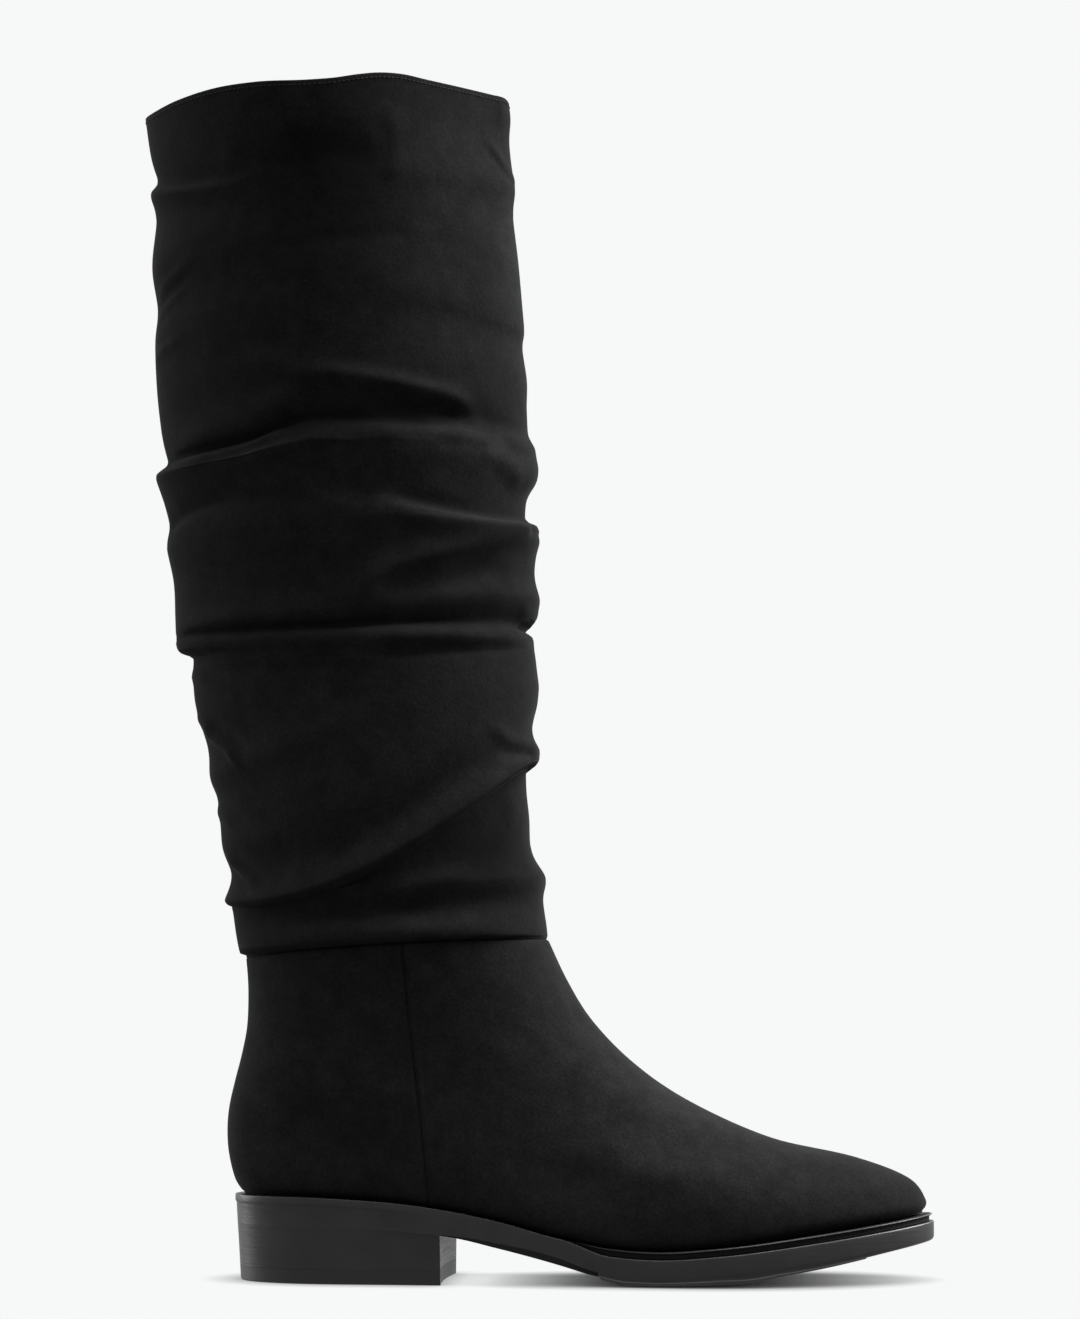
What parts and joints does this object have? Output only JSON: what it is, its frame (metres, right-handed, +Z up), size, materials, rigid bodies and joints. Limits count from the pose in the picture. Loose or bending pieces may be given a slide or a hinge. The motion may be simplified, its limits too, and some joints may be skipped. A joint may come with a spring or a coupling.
{
  "type": "over-the-knee slouch boot",
  "caption": "Tall suede boot for the right foot, with a slouched folded shaft open at the collar, an almond toe, a welted ribbed sole and a low block heel.",
  "frame": {"origin": "on the floor under the middle of the heel, on the bottom face of the top lift", "axes": "+X from heel to toe, +Y to the inner side of the foot, +Z up along the shaft"},
  "size_m": [0.3079, 0.1242, 0.4615],
  "materials": {
    "suede": "napped black suede",
    "sole_edge": "satin black",
    "welt": "semi-gloss black",
    "heel_block": "satin black, faintly layered",
    "top_lift": "matt black",
    "sock": "matt black lining"
  },
  "bodies": {
    "root": {"outsole": "sole_edge", "welt": "welt", "heel": "heel_block", "top_lift": "top_lift", "insole": "sock", "upper": "suede", "shaft": "suede"}
  },
  "joints": []
}
